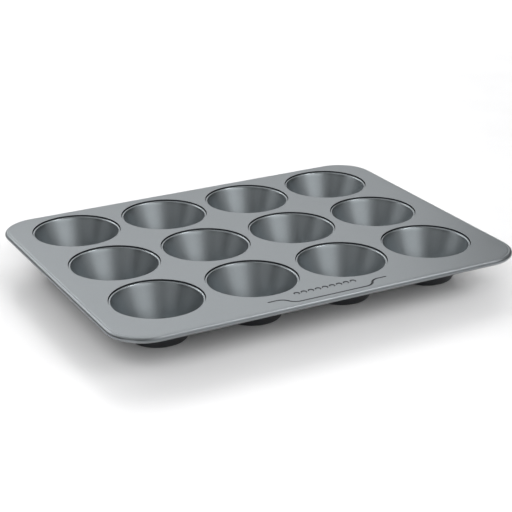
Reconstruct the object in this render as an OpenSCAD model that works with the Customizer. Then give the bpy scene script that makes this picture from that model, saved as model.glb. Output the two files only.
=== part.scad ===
// Muffin tin: a coated steel deck with a rolled, wired rim, and drawn cups nested in its stepped mouths.
// Millimetres. +X runs along the long side, -Y is the front with the pressed line, and +Z is up.
// The origin is at the middle of the plate, on the surface that the cups stand on.

/* [Plate] */
// Distance between the centres of neighbouring cups
cup_pitch = 78; // [76:1:90]
// From the centre of an end cup to the plate's side edge
side_margin = 54; // [48:1:70]
// From the centre of a back cup to the plate's back edge
back_margin = 44; // [43:1:60]
// From the centre of a front cup to the plate's front edge
front_margin = 61; // [60:1:80]
// Radius of the plate's corners, to the outside of the rim
corner_r = 30; // [15:1:36]
// Thickness of the steel sheet
sheet = 0.8; // [0.6:0.1:1.0]

/* [Rim] */
// Radius of the rolled rim, to its outside
rim_r = 2.1; // [2:0.1:3]
// How far the sheet is rolled round the wire, in degrees
rim_turn = 250; // [200:10:260]

/* [Cups] */
// Height of the deck's top above the surface that the cups stand on
cup_depth = 30; // [26:1:40]
// Radius of the step down round each mouth
mouth_r = 35.5; // [33:0.5:37]
// How far a cup's flange lies below the deck's top
step_depth = 1.1; // [0.8:0.1:1.6]
// Gap between the step and the edge of the flange
step_gap = 0.4; // [0.2:0.1:0.6]
// Radius of the flat underside of a cup
base_r = 19.5; // [16:0.5:24]
// Radius of the bend between a cup's base and its wall, on the outside
base_bend_r = 3.2; // [2:0.1:5]
// Length of the collar that the deck sends down each cup's wall
collar_length = 3; // [1:0.5:5]

/* [Pressed line] */
// Distance from the front edge to the middle stretch of the line
line_inset = 6.8; // [6:0.2:10]
// Half the length of the middle stretch
line_half = 28; // [24:1:36]
// Length of the short straight at each end
line_end = 6.5; // [4:0.5:9]
// Width of the line
line_w = 1.6; // [1:0.1:1.8]
// Depth of the line
line_depth = 0.4; // [0.2:0.05:0.4]

/* [Dimples] */
// Number of dimples in the row above the line
dimple_count = 9; // [3:2:11]
// Distance between neighbouring dimples
dimple_pitch = 6; // [5.5:0.5:7]
// Width of a dimple
dimple_w = 5; // [2:0.2:5]
// Depth of a dimple
dimple_depth = 0.4; // [0.2:0.05:0.4]
// Distance from the front edge to the row
dimple_inset = 20; // [18:0.5:21]

/* [Hidden] */
ROWS = ["front", "middle", "back"];
columns = 4;
function cup_name(row, column) = str("cup_", ROWS[row], "_", column + 1);
$fn = 96;

plate_w = cup_pitch * (columns - 1) + 2 * side_margin;
plate_d = cup_pitch * (len(ROWS) - 1) + front_margin + back_margin;
front_edge = -plate_d / 2;
function cup_x(column) = side_margin - plate_w / 2 + column * cup_pitch;
function cup_y(row) = front_edge + front_margin + row * cup_pitch;

// The rolled rim: its middle line is a rounded rectangle inside the plate's outline.
rim_z = cup_depth - rim_r;
rim_corner_r = corner_r - rim_r;
corner_x = plate_w / 2 - corner_r;
corner_y = plate_d / 2 - corner_r;
fit_gap = 0.05;
wire_r = rim_r - sheet - fit_gap;

// The bend between a cup's wall and its flange, about one centre for both sides of the sheet.
bend_inner_r = sheet / 2;
bend_outer_r = bend_inner_r + sheet;
flange_top = cup_depth - step_depth;
flange_r = mouth_r - step_gap;
flange_flat = 0.6;
bend_x = flange_r - flange_flat;
bend_z = flange_top - bend_outer_r;

// The wall touches the base's bend on one side and the flange's bend on the other.
run = bend_x - base_r;
rise = bend_z - base_bend_r;
wall_angle = acos((base_bend_r + bend_inner_r) / sqrt(run * run + rise * rise)) - atan2(rise, run);
function on_wall(x, z, distance) = [x + distance * cos(wall_angle), z - distance * sin(wall_angle)];

// The flange rests on the deck's seat, and the deck's collar follows the wall a fit gap outside it.
seat_top = flange_top - sheet;
collar_high = on_wall(bend_x, bend_z, fit_gap);
collar_low = collar_high - collar_length * [sin(wall_angle), cos(wall_angle)];

// Every cup position in turn.
module at_each_cup() {
    for (row = [0 : len(ROWS) - 1])
        for (column = [0 : columns - 1])
            translate([cup_x(column), cup_y(row), 0])
                children();
}

// A 2-D shape drawn about the rim's middle line (x outward, y up), carried all the way round.
module round_the_rim() {
    for (side = [0, 1], turn = [0, 180])
        rotate([0, 0, turn])
            rim_straight(side)
                children();
    for (turn = [0, 180])
        rotate([0, 0, turn]) {
            translate([corner_x, corner_y, rim_z])
                rotate_extrude(angle = 90)
                    translate([rim_corner_r, 0])
                        children();
            translate([-corner_x, corner_y, rim_z])
                rotate([0, 0, 90])
                    rotate_extrude(angle = 90)
                        translate([rim_corner_r, 0])
                            children();
        }
}

// One straight of the rim: side 0 is the right edge and side 1 is the back edge.
module rim_straight(side) {
    half = side == 0 ? corner_y : corner_x;
    reach = (side == 0 ? plate_w : plate_d) / 2 - rim_r;
    rotate([0, 0, side * 90])
        translate([reach, half, rim_z])
            rotate([90, 0, 0])
                linear_extrude(height = 2 * half)
                    children();
}

// The sheet rolled round the wire, open where its cut edge stops under the deck.
module roll_section() {
    big = 2 * rim_r;
    open_angle = 360 - rim_turn;
    difference() {
        circle(r = rim_r);
        circle(r = rim_r - sheet);
        polygon([
            [0, 0],
            [0, big],
            [-big, big],
            [-big, big * tan(90 - open_angle)],
        ]);
    }
}

// The flat of the deck, out to where the rim starts to roll.
module deck_flat() {
    translate([0, 0, cup_depth - sheet])
        linear_extrude(height = sheet) {
            square([2 * corner_x, plate_d - 2 * rim_r], center = true);
            square([plate_w - 2 * rim_r, 2 * corner_y], center = true);
            for (sx = [-1, 1], sy = [-1, 1])
                translate([sx * corner_x, sy * corner_y])
                    circle(r = rim_corner_r);
        }
}

// The step, seat and collar of one mouth, as a section to be turned about the cup's axis.
module mouth_section() {
    half_sheet = sheet / 2;
    across = half_sheet * [cos(wall_angle), -sin(wall_angle)];
    translate([mouth_r, seat_top - sheet])
        square([sheet, cup_depth - seat_top + sheet]);
    translate([bend_x + fit_gap, seat_top - sheet])
        square([mouth_r - bend_x, sheet]);
    translate(collar_high)
        circle(r = half_sheet);
    polygon([
        collar_high - across,
        collar_high + across,
        collar_low + across,
        collar_low - across,
    ]);
}

// A pressed line's round-bottomed cutter: its radius, and its height above the deck's top.
line_r = (line_w * line_w / 4 + line_depth * line_depth) / (2 * line_depth);
line_z = cup_depth + line_r - line_depth;
line_bend_r = 8.8;
line_bend = 60;
line_y = front_edge + line_inset;
line_end_x = line_half + 2 * line_bend_r * sin(line_bend);
line_end_y = line_y + 2 * line_bend_r * (1 - cos(line_bend));

// A straight cutter along X.
module straight_cutter(from_x, length) {
    translate([from_x, 0, 0])
        rotate([0, 90, 0])
            cylinder(h = length, r = line_r);
}

// A bend cutter, turned about its own centre from one angle to the next.
module bend_cutter(from_angle) {
    rotate([0, 0, from_angle])
        rotate_extrude(angle = line_bend)
            translate([line_bend_r, 0])
                circle(r = line_r);
}

// Half of the pressed line: middle stretch, a bend each way, and the short straight end.
module half_line() {
    translate([0, line_y, 0])
        straight_cutter(0, line_half);
    translate([line_half, line_y + line_bend_r, 0])
        bend_cutter(270);
    translate([line_end_x, line_end_y - line_bend_r, 0])
        bend_cutter(90);
    translate([0, line_end_y, 0])
        straight_cutter(line_end_x, line_end);
    translate([line_end_x + line_end, line_end_y, 0])
        sphere(r = line_r);
}

// The row of shallow round dimples above the line.
module dimples() {
    ball_r = (dimple_w * dimple_w / 4 + dimple_depth * dimple_depth) / (2 * dimple_depth);
    for (i = [0 : dimple_count - 1])
        translate([
            (i - (dimple_count - 1) / 2) * dimple_pitch,
            front_edge + dimple_inset,
            cup_depth + ball_r - dimple_depth,
        ])
            sphere(r = ball_r);
}

// The deck: one sheet with a rolled rim and a stepped mouth for every cup.
module deck() {
    color("lightslategray") {
        difference() {
            deck_flat();
            at_each_cup()
                cylinder(h = 2 * cup_depth, r = mouth_r);
            translate([0, 0, line_z]) {
                half_line();
                mirror([1, 0, 0])
                    half_line();
            }
            dimples();
        }
        at_each_cup()
            rotate_extrude()
                mouth_section();
        round_the_rim()
            roll_section();
    }
}

// The steel wire that the rim is rolled round.
module rim_wire() {
    color("silver")
        round_the_rim()
            circle(r = wire_r);
}

// The section inside one side of a cup's sheet: its hollow, or its outside filled in. It is given
// the radius of that side's bend at the base and at the flange, and the height where it stops.
module filled_section(base_side_r, flange_side_r, top) {
    difference() {
        union() {
            polygon([
                [0, base_bend_r - base_side_r],
                [base_r, base_bend_r - base_side_r],
                [base_r, base_bend_r],
                on_wall(base_r, base_bend_r, base_side_r),
                on_wall(bend_x, bend_z, -flange_side_r),
                [bend_x, bend_z],
                [bend_x, top],
                [0, top],
            ]);
            translate([base_r, base_bend_r])
                circle(r = base_side_r);
        }
        translate([bend_x, bend_z])
            circle(r = flange_side_r);
    }
}

// The section of one cup's sheet, from the middle of its base to the edge of its flange.
module cup_section() {
    difference() {
        filled_section(base_bend_r, bend_inner_r, flange_top);
        filled_section(base_bend_r - sheet, bend_outer_r, flange_top + sheet);
    }
    translate([bend_x - fit_gap, seat_top])
        square([fit_gap + flange_flat, sheet]);
}

// One drawn cup.
module cup() {
    color("slategray")
        rotate_extrude()
            cup_section();
}

deck();
rim_wire();
for (row = [0 : len(ROWS) - 1])
    for (column = [0 : columns - 1])
        translate([cup_x(column), cup_y(row), 0])
                cup();
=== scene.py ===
import math

import bpy
from mathutils import Matrix, Vector
from mathutils.geometry import delaunay_2d_cdt


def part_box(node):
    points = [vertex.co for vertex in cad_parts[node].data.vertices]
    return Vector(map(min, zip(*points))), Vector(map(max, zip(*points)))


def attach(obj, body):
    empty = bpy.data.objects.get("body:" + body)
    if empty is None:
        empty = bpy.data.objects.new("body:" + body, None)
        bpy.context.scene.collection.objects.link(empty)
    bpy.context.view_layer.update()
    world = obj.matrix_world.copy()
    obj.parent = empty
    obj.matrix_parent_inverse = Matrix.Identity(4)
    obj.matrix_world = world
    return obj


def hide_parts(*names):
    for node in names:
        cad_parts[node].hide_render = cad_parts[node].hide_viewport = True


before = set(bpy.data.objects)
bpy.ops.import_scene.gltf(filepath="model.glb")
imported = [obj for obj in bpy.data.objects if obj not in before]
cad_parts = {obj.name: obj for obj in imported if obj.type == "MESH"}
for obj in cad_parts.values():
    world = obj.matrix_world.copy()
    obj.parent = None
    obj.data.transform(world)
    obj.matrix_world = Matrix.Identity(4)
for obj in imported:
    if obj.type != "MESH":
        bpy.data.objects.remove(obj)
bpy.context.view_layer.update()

MM = 0.001

# Sizes that the frame gives.
deck_low, deck_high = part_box("deck")
TOP = deck_high[2]
HALF_W = (deck_high[0] - deck_low[0]) / 2
HALF_D = (deck_high[1] - deck_low[1]) / 2
ROWS = ("front", "middle", "back")
COLUMNS = 4
CUPS = [f"cup_{row}_{column + 1}" for row in ROWS for column in range(COLUMNS)]
cup_low, cup_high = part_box(CUPS[0])
FLANGE_R = (cup_high[0] - cup_low[0]) / 2
FLANGE_TOP = cup_high[2]

wire_low, wire_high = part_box("rim_wire")
WIRE_R = (wire_high[2] - wire_low[2]) / 2

# Sizes of the sheet and of what is pressed into it.
SHEET = 0.8 * MM
FIT_GAP = 0.05 * MM
RIM_R = WIRE_R + FIT_GAP + SHEET
CORNER_R = 30 * MM
RIM_DIP_W = 1.8 * MM
RIM_DIP_DEPTH = 0.12 * MM
STEP_GAP = 0.4 * MM
MOUTH_R = FLANGE_R + STEP_GAP
MOUTH_EDGE_R = 0.15 * MM
BASE_R = 19.5 * MM
BASE_BEND_R = 3.2 * MM
FLANGE_FLAT = 0.6 * MM
FLANGE_EDGE_R = 0.2 * MM
BEND_INNER_R = SHEET / 2
BEND_OUTER_R = BEND_INNER_R + SHEET
COLLAR_LENGTH = 3 * MM
LINE_INSET = 6.8 * MM
LINE_HALF = 28 * MM
LINE_BEND_R = 8.8 * MM
LINE_END = 6.5 * MM
LINE_W = 2.1 * MM
LINE_DEPTH = 0.46 * MM
DIMPLES = 9
DIMPLE_PITCH = 6 * MM
DIMPLE_R = 2.5 * MM
DIMPLE_DEPTH = 0.55 * MM
DIMPLE_INSET = 20 * MM

# Degrees: where the rim's crest ends and the roll's painted shade begins, where its whole roll ends, and
# how far the line turns in each bend.
CREST_END = 44
ROLL_END = -160
LINE_BEND = 60

# Shares of the half width: where the line's painted shade in the dark coating stops, and where a
# dimple's wall of painted shade starts.
LINE_SHADE = 0.8
DIMPLE_SHADE = 5 / 8

# How flat the bottom of a dimple is: 1 is a plain wave, and more is flatter.
DIMPLE_FLATNESS = 3

# How finely round things are divided.
MOUTH_STEPS = 144
CORNER_STEPS = 24
DIP_STEPS = 5


def direction(angle):
    """Unit vector at that many degrees."""
    return math.cos(math.radians(angle)), math.sin(math.radians(angle))


def centre_of(node):
    """Middle of a node's box, seen from above."""
    low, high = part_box(node)
    return (low[0] + high[0]) / 2, (low[1] + high[1]) / 2


# Which of a piece's coatings a face has: the grey one on top; the dark one on the undersides, which also
# stands as painted shade in the mouths' seams, the pressed line and the dimples' walls; or the rolled
# rim's, darkened as painted shade.
GREY, DARK_AND_SHADE, RIM_SHADE = 0, 1, 2


class Skin:
    """A mesh under construction. Points with the same place and normal are one vertex."""

    def __init__(self):
        self.places = []
        self.normals = []
        self.faces = []
        self.paints = []
        self.found = {}

    def point(self, place, normal):
        """The number of the vertex at a place, which is made if it isn't there yet."""
        key = tuple(round(v, 7) for v in place) + tuple(round(v, 2) for v in normal)
        if key not in self.found:
            self.found[key] = len(self.places)
            self.places.append(place)
            self.normals.append(normal)
        return self.found[key]

    def face(self, *corners, paint=GREY):
        """A face whose corners run so that it faces the way its points' normals do."""
        kept = [c for i, c in enumerate(corners) if c != corners[i - 1]]
        if len(kept) < 3:
            return
        spots = [Vector(self.places[c]) for c in kept]
        facing = (spots[1] - spots[0]).cross(spots[-1] - spots[0])
        if len(kept) > 3:
            facing += (spots[3] - spots[2]).cross(spots[1] - spots[2])
        wanted = sum((Vector(self.normals[c]) for c in kept), Vector((0, 0, 0)))
        self.faces.append(kept if facing.dot(wanted) > 0 else kept[::-1])
        self.paints.append(paint)

    def strip(self, rings, paint=GREY):
        """Faces between neighbouring closed rings of points."""
        for a, b in zip(rings, rings[1:]):
            for i in range(len(a)):
                j = (i + 1) % len(a)
                self.face(a[i], a[j], b[j], b[i], paint=paint)

    def build(self, name, materials, origin=(0, 0, 0)):
        """The finished object, with its origin at the given place."""
        mesh = bpy.data.meshes.new(name)
        mesh.from_pydata([Vector(place) - Vector(origin) for place in self.places], [], self.faces)
        for material in materials:
            mesh.materials.append(material)
        mesh.polygons.foreach_set("material_index", self.paints)
        mesh.shade_smooth()
        mesh.normals_split_custom_set_from_vertices(self.normals)
        obj = bpy.data.objects.new(name, mesh)
        obj.location = origin
        bpy.context.collection.objects.link(obj)
        return obj


# A profile is a list of (across, up, normal across, normal up).


def arc(centre, radius, start, stop, steps, side=1):
    """Points along an arc, with normals pointing out of it, or into it where side is -1."""
    points = []
    for i in range(steps + 1):
        across, up = direction(start + (stop - start) * i / steps)
        points.append(
            (
                centre[0] + radius * across,
                centre[1] + radius * up,
                side * across,
                side * up,
            )
        )
    return points


def revolved(skin, profile, centre, steps=MOUTH_STEPS, paint=GREY):
    """Turns a profile about an upright axis. Returns its rings of points."""
    rings = []
    for across, up, normal_across, normal_up in profile:
        ring = []
        for i in range(steps):
            x, y = direction(360 * i / steps)
            place = (centre[0] + across * x, centre[1] + across * y, up)
            ring.append(
                skin.point(place, (normal_across * x, normal_across * y, normal_up))
            )
        rings.append(ring)
    skin.strip(rings, paint)
    return rings


# The cup's wall touches the bend at its base on one side and the bend at its flange on the other.
BEND_X = FLANGE_R - FLANGE_FLAT
BEND_Z = FLANGE_TOP - BEND_OUTER_R
RUN = BEND_X - BASE_R
RISE = BEND_Z - BASE_BEND_R
WALL_ANGLE = math.degrees(
    math.acos((BASE_BEND_R + BEND_INNER_R) / math.hypot(RUN, RISE))
    - math.atan2(RISE, RUN)
)
SEAT_TOP = FLANGE_TOP - SHEET


def cup_inside():
    """The seen side of a cup's sheet, from the middle of its floor to the edge of its flange."""
    base = (BASE_R, BASE_BEND_R)
    bend = (BEND_X, BEND_Z)
    edge = (FLANGE_R - FLANGE_EDGE_R, FLANGE_TOP - FLANGE_EDGE_R)
    return (
        [(0, SHEET, 0, 1)]
        + arc(base, BASE_BEND_R - SHEET, -90, -WALL_ANGLE, 10, side=-1)
        + arc(bend, BEND_OUTER_R, 180 - WALL_ANGLE, 90, 10)
        + arc(edge, FLANGE_EDGE_R, 90, 45, 2)
    )


def cup_outside():
    """The other side of a cup's sheet, from the edge of its flange to the middle of its underside."""
    base = (BASE_R, BASE_BEND_R)
    bend = (BEND_X, BEND_Z)
    edge_x = FLANGE_R - FLANGE_EDGE_R
    return (
        arc((edge_x, FLANGE_TOP - FLANGE_EDGE_R), FLANGE_EDGE_R, 45, 0, 2)
        + arc((edge_x, SEAT_TOP + FLANGE_EDGE_R), FLANGE_EDGE_R, 0, -90, 4)
        + arc(bend, BEND_INNER_R, 90, 180 - WALL_ANGLE, 6, side=-1)
        + arc(base, BASE_BEND_R, -WALL_ANGLE, -90, 12)
        + [(0, 0, 0, -1)]
    )


def mouth_edge():
    """The small round-over where the deck's top turns down into a mouth."""
    return arc((MOUTH_R + MOUTH_EDGE_R, TOP - MOUTH_EDGE_R), MOUTH_EDGE_R, 90, 150, 4)


def mouth_step():
    """The deck's sheet from a mouth's edge down its step, seat and collar and back below."""
    across, up = direction(-WALL_ANGLE)
    half = SHEET / 2
    high = (BEND_X + FIT_GAP * across, BEND_Z + FIT_GAP * up)
    low = (high[0] + COLLAR_LENGTH * up, high[1] - COLLAR_LENGTH * across)
    seat_r = 0.15 * MM
    under_r = 0.5 * MM
    seat_low = SEAT_TOP - SHEET
    outer = MOUTH_R + SHEET
    down_collar = (high[1] + half * up - seat_low) / across
    corner_x = high[0] + half * across + down_collar * up
    return (
        arc((MOUTH_R + MOUTH_EDGE_R, TOP - MOUTH_EDGE_R), MOUTH_EDGE_R, 150, 180, 2)
        + arc((MOUTH_R - seat_r, SEAT_TOP + seat_r), seat_r, 0, -90, 4, side=-1)
        + arc(high, half, 90, 180 - WALL_ANGLE, 5)
        + arc(low, half, 180 - WALL_ANGLE, 360 - WALL_ANGLE, 8)
        + [(corner_x, seat_low, across, up), (corner_x, seat_low, 0, -1)]
        + arc((outer - under_r, seat_low + under_r), under_r, -90, 0, 4)
        + arc((outer + under_r, TOP - SHEET - under_r), under_r, 180, 90, 4, side=-1)
    )


def rim_stations(inset=0):
    """Places round the rim's middle line or inside it, each as (x, y, outward x, outward y)."""
    radius = CORNER_R - RIM_R - inset
    x = HALF_W - CORNER_R
    y = HALF_D - CORNER_R
    stations = []
    for quarter, (cx, cy) in enumerate(((x, y), (-x, y), (-x, -y), (x, -y))):
        for i in range(CORNER_STEPS + 1):
            out = direction(90 * quarter + 90 * i / CORNER_STEPS)
            stations.append((cx + radius * out[0], cy + radius * out[1], *out))
    return stations


def rim_dip():
    """The faint dip between the flat of the deck and its rolled rim, about the rim's middle line."""
    steps = 12
    points = []
    for i in range(steps + 1):
        turn = 360 * i / steps
        slope = -RIM_DIP_DEPTH * math.pi * math.sin(math.radians(turn)) / RIM_DIP_W
        length = math.hypot(1, slope)
        across = RIM_DIP_W * (i / steps - 1)
        up = RIM_R - RIM_DIP_DEPTH * (1 - math.cos(math.radians(turn))) / 2
        points.append((across, up, -slope / length, 1 / length))
    return points


def roll_crest():
    """The top of the rolled rim, about its middle line, from the deck's top to its outer side."""
    return arc((0, 0), RIM_R, 90, CREST_END, 8)


def roll_outside():
    """The outer side of the rolled rim, about its middle line, from its crest to the cut edge."""
    return arc((0, 0), RIM_R, CREST_END, ROLL_END, 32)


def roll_inside():
    """The rolled rim's cut edge and its hidden side, back to the deck's underside."""
    end = direction(ROLL_END)
    middle = (RIM_R - SHEET / 2) * end[0], (RIM_R - SHEET / 2) * end[1]
    return (
        arc(middle, SHEET / 2, ROLL_END, ROLL_END - 180, 6)
        + arc((0, 0), RIM_R - SHEET, ROLL_END, 90, 30, side=-1)
    )


def round_the_rim(skin, profile, paint=GREY):
    """Carries a profile about the rim's middle line all the way round the deck."""
    rings = []
    for across, up, normal_across, normal_up in profile:
        ring = []
        for x, y, out_x, out_y in rim_stations():
            place = (x + across * out_x, y + across * out_y, TOP - RIM_R + up)
            normal = (normal_across * out_x, normal_across * out_y, normal_up)
            ring.append(skin.point(place, normal))
        rings.append(ring)
    skin.strip(rings, paint)


def line_path():
    """The pressed line's middle, as (x, y, heading in degrees), from its left end to its right."""
    y = LINE_INSET - HALF_D
    bend_x = LINE_BEND_R * math.sin(math.radians(LINE_BEND))
    end_x = LINE_HALF + 2 * bend_x
    end_y = y + 2 * LINE_BEND_R * (1 - math.cos(math.radians(LINE_BEND)))
    steps = 12
    half = [(0, y, 0), (LINE_HALF, y, 0)]
    for i in range(1, steps + 1):
        turn = LINE_BEND * i / steps
        out = direction(270 + turn)
        half.append(
            (LINE_HALF + LINE_BEND_R * out[0], y + LINE_BEND_R * (1 + out[1]), turn)
        )
    for i in range(steps - 1, -1, -1):
        turn = LINE_BEND * i / steps
        out = direction(90 + turn)
        half.append((end_x + LINE_BEND_R * out[0], end_y - LINE_BEND_R * (1 - out[1]), turn))
    half.append((end_x + LINE_END, end_y, 0))
    mirrored = [(-px, py, -turn) for px, py, turn in reversed(half[1:])]
    return mirrored + half


def dip(share, depth, flatness=1):
    """Depth and slope of a smooth dip, at that share of the way from its middle to its edge."""
    angle = math.pi * share**flatness
    height = -depth * (1 + math.cos(angle)) / 2
    slope = depth * math.pi * math.sin(angle) / 2 * flatness * share ** (flatness - 1)
    return height, slope


def line_paint(inner, outer):
    """The coating between two shares of the way from the line's middle to its edge: the dark one, as
    painted shade, down the middle of the channel.
    """
    return DARK_AND_SHADE if (inner + outer) / 2 < LINE_SHADE else GREY


def pressed_line(skin):
    """The line's channel. Returns its outline on the deck's top."""
    path = line_path()
    half = LINE_W / 2
    shares = [i / DIP_STEPS for i in range(-DIP_STEPS, DIP_STEPS + 1)]
    rows = []
    for x, y, turn in path:
        left = direction(turn + 90)
        row = []
        for share in shares:
            height, slope = dip(abs(share), LINE_DEPTH)
            tilt = -slope / half * (1 if share > 0 else -1)
            length = math.hypot(1, tilt)
            normal = (left[0] * tilt / length, left[1] * tilt / length, 1 / length)
            place = (x + left[0] * half * share, y + left[1] * half * share, TOP + height)
            row.append(skin.point(place, normal))
        rows.append(row)
    for a, b in zip(rows, rows[1:]):
        for i in range(len(shares) - 1):
            paint = line_paint(abs(shares[i]), abs(shares[i + 1]))
            skin.face(a[i], b[i], b[i + 1], a[i + 1], paint=paint)
    outline = [skin.places[row[0]] for row in rows]
    for end, (x, y, _) in ((1, path[-1]), (-1, path[0])):
        cap = line_end(skin, x, y, end)
        outline += cap
        if end == 1:
            outline += [skin.places[row[-1]] for row in reversed(rows)]
    return outline


def line_end(skin, x, y, end):
    """The round end of the channel. Returns the outline's points between its two sides."""
    steps = 10
    half = LINE_W / 2
    fans = []
    for i in range(steps + 1):
        out = direction(-90 * end + 180 * i / steps)
        fan = []
        for j in range(DIP_STEPS + 1):
            share = j / DIP_STEPS
            height, slope = dip(share, LINE_DEPTH)
            tilt = -slope / half
            length = math.hypot(1, tilt)
            normal = (out[0] * tilt / length, out[1] * tilt / length, 1 / length)
            place = (x + out[0] * half * share, y + out[1] * half * share, TOP + height)
            fan.append(skin.point(place, normal))
        fans.append(fan)
    for a, b in zip(fans, fans[1:]):
        for j in range(DIP_STEPS):
            paint = line_paint(j / DIP_STEPS, (j + 1) / DIP_STEPS)
            skin.face(a[j], a[j + 1], b[j + 1], b[j], paint=paint)
    return [skin.places[fan[-1]] for fan in fans[1:-1]]


def dimple(skin, x, y):
    """A shallow round dimple whose outer wall is in the dark coating as painted shade. Returns its
    outline on the deck's top.
    """
    steps = 32
    rings = 8
    wall = round(rings * DIMPLE_SHADE)
    profile = []
    for j in range(rings + 1):
        share = j / rings
        height, slope = dip(share, DIMPLE_DEPTH, DIMPLE_FLATNESS)
        tilt = -slope / DIMPLE_R
        length = math.hypot(1, tilt)
        profile.append((DIMPLE_R * share, TOP + height, tilt / length, 1 / length))
    revolved(skin, profile[: wall + 1], (x, y), steps)
    # The outer part of the dimple's wall takes the dark coating as painted shade.
    edge = revolved(skin, profile[wall:], (x, y), steps, DARK_AND_SHADE)[-1]
    return [skin.places[i] for i in edge]


def sheet_between(skin, outer, holes, height, up, paint=GREY):
    """Flat faces at one height, inside the outer loop and outside the holes."""
    places = []
    edges = []
    for loop in [outer] + holes:
        first = len(places)
        places += [Vector((p[0], p[1])) for p in loop]
        edges += [(first + i, first + (i + 1) % len(loop)) for i in range(len(loop))]
    made, _, triangles, sources, _, _ = delaunay_2d_cdt(places, edges, [], 1, 1e-9)
    inside = [hole_test(loop) for loop in holes]
    kept = []
    for triangle in triangles:
        x = sum(made[i][0] for i in triangle) / 3
        y = sum(made[i][1] for i in triangle) / 3
        if not any(test(x, y) for test in inside):
            kept.append(triangle)
    points = []
    for i, spot in enumerate(made):
        source = places[sources[i][0]] if sources[i] else spot
        points.append(skin.point((source[0], source[1], height), (0, 0, up)))
    for triangle in kept:
        corners = [points[i] for i in triangle]
        skin.face(*corners, paint=paint)


def hole_test(loop):
    """A test of whether a spot is inside a loop."""
    xs = [p[0] for p in loop]
    ys = [p[1] for p in loop]
    low_x, high_x, low_y, high_y = min(xs), max(xs), min(ys), max(ys)

    def test(x, y):
        if not (low_x < x < high_x and low_y < y < high_y):
            return False
        crossings = 0
        for (x1, y1), (x2, y2) in zip(zip(xs, ys), zip(xs[1:] + xs[:1], ys[1:] + ys[:1])):
            if (y1 > y) != (y2 > y) and x < x1 + (y - y1) * (x2 - x1) / (y2 - y1):
                crossings += 1
        return crossings % 2 == 1

    return test


def make_deck(materials):
    """The deck: a flat sheet, a rolled rim, a stepped mouth for every cup and the pressed details."""
    skin = Skin()
    top_holes = []
    low_holes = []
    for name in CUPS:
        rings = revolved(skin, mouth_edge(), centre_of(name))
        top_holes.append([skin.places[i] for i in rings[0]])
        # The step, seat and collar take the dark coating, as painted shade in the seam round each mouth.
        rings = revolved(skin, mouth_step(), centre_of(name), paint=DARK_AND_SHADE)
        low_holes.append([skin.places[i] for i in rings[-1]])
    top_holes.append(pressed_line(skin))
    for i in range(DIMPLES):
        x = (i - (DIMPLES - 1) / 2) * DIMPLE_PITCH
        top_holes.append(dimple(skin, x, DIMPLE_INSET - HALF_D))
    round_the_rim(skin, rim_dip() + roll_crest())
    # The roll's outside below its crest takes the rim's coating, darkened as painted shade.
    round_the_rim(skin, roll_outside(), RIM_SHADE)
    round_the_rim(skin, roll_inside(), DARK_AND_SHADE)
    sheet_between(skin, rim_stations(RIM_DIP_W), top_holes, TOP, 1)
    sheet_between(skin, rim_stations(), low_holes, TOP - SHEET, -1, DARK_AND_SHADE)
    return skin.build("deck_sheet", materials)


def make_cup(node, materials):
    """One drawn cup, in its place."""
    skin = Skin()
    revolved(skin, cup_inside(), centre_of(node))
    revolved(skin, cup_outside(), centre_of(node), paint=DARK_AND_SHADE)
    return skin.build(node + "_sheet", materials, (*centre_of(node), 0))


class Nodes:
    """Shorthand for building one material's nodes."""

    def __init__(self, name):
        self.material = bpy.data.materials.new(name)
        self.material.use_nodes = True
        self.tree = self.material.node_tree
        self.shader = self.tree.nodes["Principled BSDF"]
        self.place = self.tree.nodes.new("ShaderNodeTexCoord").outputs["Object"]

    def maths(self, kind, operation, *values):
        """A maths node whose inputs are given as numbers, vectors or other nodes' outputs."""
        node = self.tree.nodes.new(kind)
        node.operation = operation
        for socket, value in zip(node.inputs, values):
            self.give(socket, value)
        return node.outputs[0]

    def give(self, socket, value):
        """Links an output to a socket, or sets the socket to a number or vector."""
        if isinstance(value, bpy.types.NodeSocket):
            self.tree.links.new(value, socket)
        else:
            socket.default_value = value

    def noise(self, grain, detail=2, place=None):
        """Noise between 0 and 1 whose features are about one grain across."""
        node = self.tree.nodes.new("ShaderNodeTexNoise")
        self.give(node.inputs["Vector"], place or self.place)
        node.inputs["Scale"].default_value = 1 / grain
        node.inputs["Detail"].default_value = detail
        return node.outputs["Fac"]

    def spread(self, value, low, high, start=0.3, stop=0.7):
        """Maps a value from start to stop, or the middle of a noise, to run from low to high."""
        node = self.tree.nodes.new("ShaderNodeMapRange")
        self.give(node.inputs["Value"], value)
        node.inputs["From Min"].default_value = start
        node.inputs["From Max"].default_value = stop
        node.inputs["To Min"].default_value = low
        node.inputs["To Max"].default_value = high
        return node.outputs["Result"]

    def height(self):
        """Height above the object's own origin."""
        node = self.tree.nodes.new("ShaderNodeSeparateXYZ")
        self.give(node.inputs["Vector"], self.place)
        return node.outputs["Z"]

    def product(self, a, b):
        return self.maths("ShaderNodeMath", "MULTIPLY", a, b)

    def sum(self, a, b):
        return self.maths("ShaderNodeMath", "ADD", a, b)

    def colour(self, colour, strength):
        """Gives the shader a colour times a varying strength."""
        node = self.tree.nodes.new("ShaderNodeVectorMath")
        node.operation = "SCALE"
        node.inputs[0].default_value = colour
        self.give(node.inputs["Scale"], strength)
        self.give(self.shader.inputs["Base Color"], node.outputs["Vector"])

    def fleck(self):
        """The fine metallic flecks in a coating, as a strength for its colour."""
        return self.spread(self.noise(0.35 * MM), 0.94, 1.06)

    def bump(self, height, distance):
        """Gives the shader a bumpy surface."""
        node = self.tree.nodes.new("ShaderNodeBump")
        self.give(node.inputs["Height"], height)
        node.inputs["Distance"].default_value = distance
        self.give(self.shader.inputs["Normal"], node.outputs["Normal"])


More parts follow.
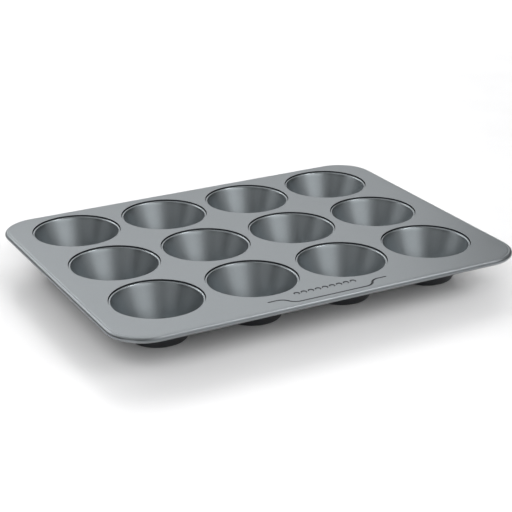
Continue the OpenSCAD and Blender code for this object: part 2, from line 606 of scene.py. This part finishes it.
def coated(name, colour, roughness):
    """Satin non-stick coating on steel: metallic flecks, a faint orange peel and a cloudy sheen."""
    nodes = Nodes(name)
    cloud = nodes.noise(22 * MM, detail=3)
    nodes.colour(colour, nodes.product(nodes.fleck(), nodes.spread(cloud, 0.98, 1.02)))
    nodes.give(nodes.shader.inputs["Roughness"], nodes.spread(cloud, roughness * 0.95, roughness * 1.05))
    nodes.shader.inputs["Metallic"].default_value = 1
    nodes.bump(nodes.noise(0.9 * MM), 0.012 * MM)
    return nodes.material


def coated_cup(name, colour, roughness):
    """The same coating over a drawn wall, with draw lines running up it to a burnished shoulder.

    The lines' spacing is an angle about the cup's axis, in radians.
    """
    nodes = Nodes(name)
    flat = nodes.maths("ShaderNodeVectorMath", "MULTIPLY", nodes.place, (1, 1, 0))
    around = nodes.maths("ShaderNodeVectorMath", "NORMALIZE", flat)
    drawn = nodes.maths("ShaderNodeVectorMath", "ADD", around, nodes.place)
    line_spacing = 0.035
    lines = nodes.noise(line_spacing, detail=3, place=drawn)
    cloud = nodes.noise(12 * MM, detail=3)
    tone = nodes.product(nodes.spread(lines, 0.985, 1.015), nodes.spread(cloud, 0.98, 1.02))
    nodes.colour(colour, nodes.product(nodes.fleck(), tone))
    shoulder = (FLANGE_TOP - 3 * MM, FLANGE_TOP - 1 * MM)
    burnished = nodes.spread(nodes.height(), 0, -0.1, *shoulder)
    sheen = nodes.sum(nodes.spread(lines, roughness - 0.015, roughness + 0.015), burnished)
    nodes.give(nodes.shader.inputs["Roughness"], sheen)
    nodes.shader.inputs["Metallic"].default_value = 1
    nodes.bump(nodes.sum(nodes.noise(0.9 * MM), lines), 0.006 * MM)
    return nodes.material


def drawn_wire(name):
    """Bare drawn steel wire under a light, patchy film of oxide."""
    nodes = Nodes(name)
    film = nodes.noise(6 * MM, detail=3)
    nodes.colour((0.5, 0.49, 0.47), nodes.spread(film, 0.8, 1.1))
    nodes.give(nodes.shader.inputs["Roughness"], nodes.spread(film, 0.28, 0.42))
    nodes.shader.inputs["Metallic"].default_value = 1
    nodes.bump(nodes.noise(0.25 * MM), 0.01 * MM)
    return nodes.material


def studio_floor(name):
    """A smooth white board with a faint sheen."""
    nodes = Nodes(name)
    patch = nodes.noise(60 * MM, detail=3)
    nodes.colour((0.86, 0.86, 0.865), nodes.spread(patch, 0.995, 1.005))
    nodes.give(nodes.shader.inputs["Roughness"], nodes.spread(patch, 0.18, 0.24))
    nodes.bump(nodes.noise(1.5 * MM), 0.004 * MM)
    return nodes.material


def towards_place(azimuth, elevation):
    """Unit vector from the tin towards a place round it. Azimuth 0 is the front and 90 the right."""
    a, e = math.radians(azimuth), math.radians(elevation)
    return Vector((math.sin(a) * math.cos(e), -math.cos(a) * math.cos(e), math.sin(e)))


def softbox(name, azimuth, elevation, size, radiance, glossy=True, diffuse=True):
    """A rectangular soft light facing the tin.

    A light that is not glossy leaves no reflection in the metal, so it brightens little but the floor.
    A light that is not diffuse is seen only as a reflection, and the floor stays as it was.
    """
    distance = 1.6
    towards = towards_place(azimuth, elevation)
    light = bpy.data.lights.new(name, "AREA")
    light.shape = "RECTANGLE"
    light.size, light.size_y = size
    light.energy = radiance * math.pi * size[0] * size[1]
    obj = bpy.data.objects.new(name, light)
    obj.location = distance * towards + Vector((0, 0, TOP))
    obj.rotation_euler = towards.to_track_quat("Z", "Y").to_euler()
    obj.visible_camera = False
    obj.visible_glossy = glossy
    obj.visible_diffuse = diffuse
    bpy.context.collection.objects.link(obj)


def make_lights():
    """Softboxes all round, two small ones that edge the rim with light, and a wash for the floor."""
    softbox("key", 15, 30, (1.5, 0.8), 1.2)
    softbox("key_side", 335, 30, (0.7, 0.8), 0.3)
    softbox("fill", 62, 30, (0.8, 0.8), 0.5)
    softbox("low_left", 300, 8, (0.9, 0.7), 0.8)
    softbox("back", 165, 30, (1.6, 0.8), 1.0)
    softbox("back_left", 210, 32, (0.5, 0.8), 1.9)
    softbox("back_side", 236, 30, (0.9, 0.8), 0.78)
    softbox("high_back", 144, 55, (1.2, 0.8), 0.9)
    softbox("high_front", 45, 52, (0.9, 0.8), 0.8)
    softbox("edge_right", 62, 60, (0.4, 0.4), 6.5, diffuse=False)
    softbox("edge_left", 184, 34, (0.25, 0.3), 4.5, diffuse=False)
    softbox("overhead", 0, 88, (0.9, 0.9), 0.3)
    softbox("high_left", 270, 55, (1.2, 0.8), 0.7)
    softbox("wash_back", 160, 28, (2.2, 1.2), 3.0, glossy=False)
    softbox("wash_right", 45, 25, (1.2, 1.2), 2.6, glossy=False)
    softbox("wash_left", 315, 35, (1.2, 1.2), 3.0, glossy=False)


def make_floor():
    """The plain pale floor, just under the cups."""
    half = 3
    mesh = bpy.data.meshes.new("floor")
    corners = [(-half, -half, 0), (half, -half, 0), (half, half, 0), (-half, half, 0)]
    mesh.from_pydata(corners, [], [(0, 1, 2, 3)])
    floor = bpy.data.objects.new("floor", mesh)
    bpy.context.collection.objects.link(floor)
    mesh.materials.append(studio_floor("studio_floor"))


def make_world():
    """Pale surroundings: white to the camera, dimmer as a light."""
    world = bpy.data.worlds.new("studio")
    world.use_nodes = True
    nodes = world.node_tree.nodes
    links = world.node_tree.links
    seen = nodes.new("ShaderNodeLightPath")
    strength = nodes.new("ShaderNodeMapRange")
    strength.inputs["To Min"].default_value = 0.09
    strength.inputs["To Max"].default_value = 1
    background = nodes["Background"]
    background.inputs["Color"].default_value = (1, 1, 1, 1)
    links.new(seen.outputs["Is Camera Ray"], strength.inputs["Value"])
    links.new(strength.outputs["Result"], background.inputs["Strength"])
    bpy.context.scene.world = world


def make_camera():
    """The camera at the photograph's viewing angle."""
    roll = -0.296
    distance = 1.1317
    aim = Vector((-0.0159, -0.0326, TOP))
    back = towards_place(-28.107, 22.146)
    camera = bpy.data.cameras.new("camera")
    camera.sensor_width = 36
    camera.lens = 102.77
    obj = bpy.data.objects.new("camera", camera)
    turn = back.to_track_quat("Z", "Y").to_matrix().to_4x4()
    obj.matrix_world = (
        Matrix.Translation(aim + distance * back) @ turn @ Matrix.Rotation(math.radians(roll), 4, "Z")
    )
    bpy.context.collection.objects.link(obj)
    bpy.context.scene.camera = obj


# The dark coating covers the undersides and also paints the shade in the mouths' seams, the pressed line
# and the dimples' walls.
dark_coat_and_painted_shade = coated("dark_coat_and_painted_shade", (0.09, 0.095, 0.1), 0.45)
deck_coating = coated("deck_coating", (0.358, 0.383, 0.4), 0.4)
# The rim's coating: the deck's colour darkened as painted shade on the roll's outer side, and smoother.
rim_coat_with_painted_shade = coated("rim_coat_with_painted_shade", (0.25, 0.267, 0.278), 0.32)
deck = make_deck([deck_coating, dark_coat_and_painted_shade, rim_coat_with_painted_shade])
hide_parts("deck")
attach(deck, "root")
cup_coatings = [coated_cup("cup_coating", (0.352, 0.384, 0.402), 0.39), dark_coat_and_painted_shade]
for cup_node in CUPS:
    cup = make_cup(cup_node, cup_coatings)
    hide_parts(cup_node)
    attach(cup, "root")
wire_material = drawn_wire("drawn_wire")
for wire_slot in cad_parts["rim_wire"].material_slots:
    wire_slot.material = wire_material

make_floor()
make_world()
make_camera()
make_lights()
bpy.context.scene.view_settings.view_transform = "Standard"
